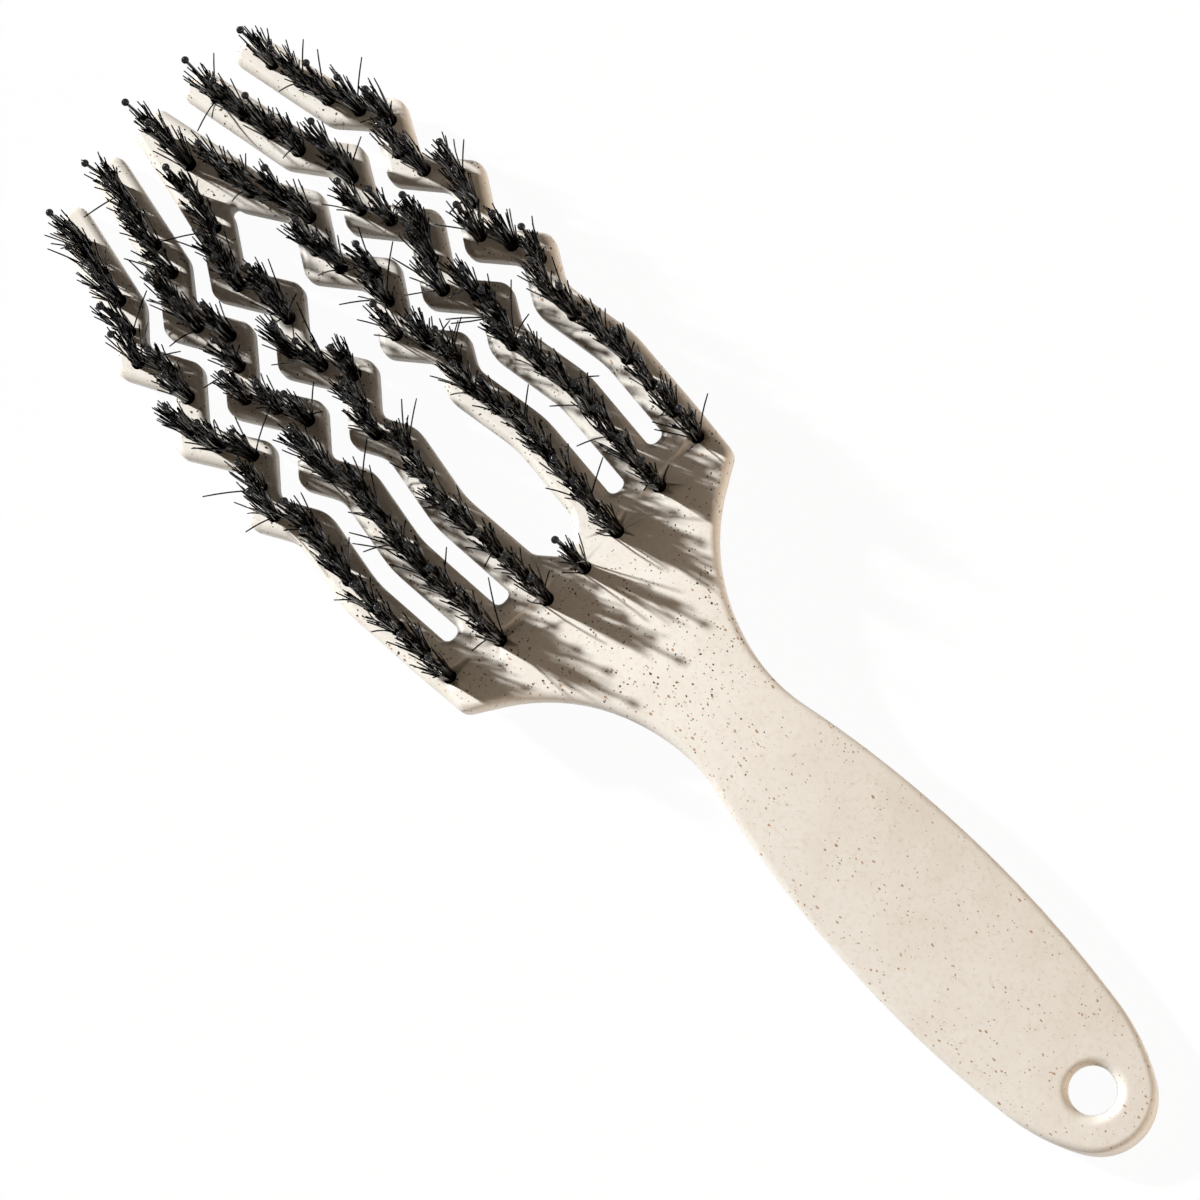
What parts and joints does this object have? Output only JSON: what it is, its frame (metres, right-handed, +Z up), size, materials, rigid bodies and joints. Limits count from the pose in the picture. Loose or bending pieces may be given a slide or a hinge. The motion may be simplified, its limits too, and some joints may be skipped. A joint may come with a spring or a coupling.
{
  "type": "vented paddle hair brush",
  "caption": "Paddle hair brush with wavy separate fingers, open vents, bristle tufts with ball-tipped pins, and a crowned handle with a hanging hole",
  "frame": {"origin": "Middle of the bounding box's underside, on the ground that the brush lies on with its bristles up", "axes": "+X runs along the brush from the finger tips to the hanging hole, +Y across it, +Z up along the bristles"},
  "size_m": [0.2462, 0.0714, 0.0341],
  "materials": {
    "body_plastic": "satin moulded bioplastic in warm cream, flecked with straw fibre",
    "bristle_nylon": "glossy black nylon filament",
    "pin_nylon": "glossy black nylon pin with a rounded ball tip",
    "anchor_metal": "bright flat staple wire"
  },
  "bodies": {
    "root": {"brush_body": "body_plastic", "bristles_row_1": "bristle_nylon", "bristles_row_2": "bristle_nylon", "bristles_row_3": "bristle_nylon", "bristles_row_4": "bristle_nylon", "bristles_row_5": "bristle_nylon", "bristles_row_6": "bristle_nylon", "bristles_centre": "bristle_nylon", "ball_pins_row_1": "pin_nylon", "ball_pins_row_2": "pin_nylon", "ball_pins_row_3": "pin_nylon", "ball_pins_row_4": "pin_nylon", "ball_pins_row_5": "pin_nylon", "ball_pins_row_6": "pin_nylon", "ball_pins_centre": "pin_nylon", "anchors_row_1": "anchor_metal", "anchors_row_2": "anchor_metal", "anchors_row_3": "anchor_metal", "anchors_row_4": "anchor_metal", "anchors_row_5": "anchor_metal", "anchors_row_6": "anchor_metal", "anchors_centre": "anchor_metal"}
  },
  "joints": []
}
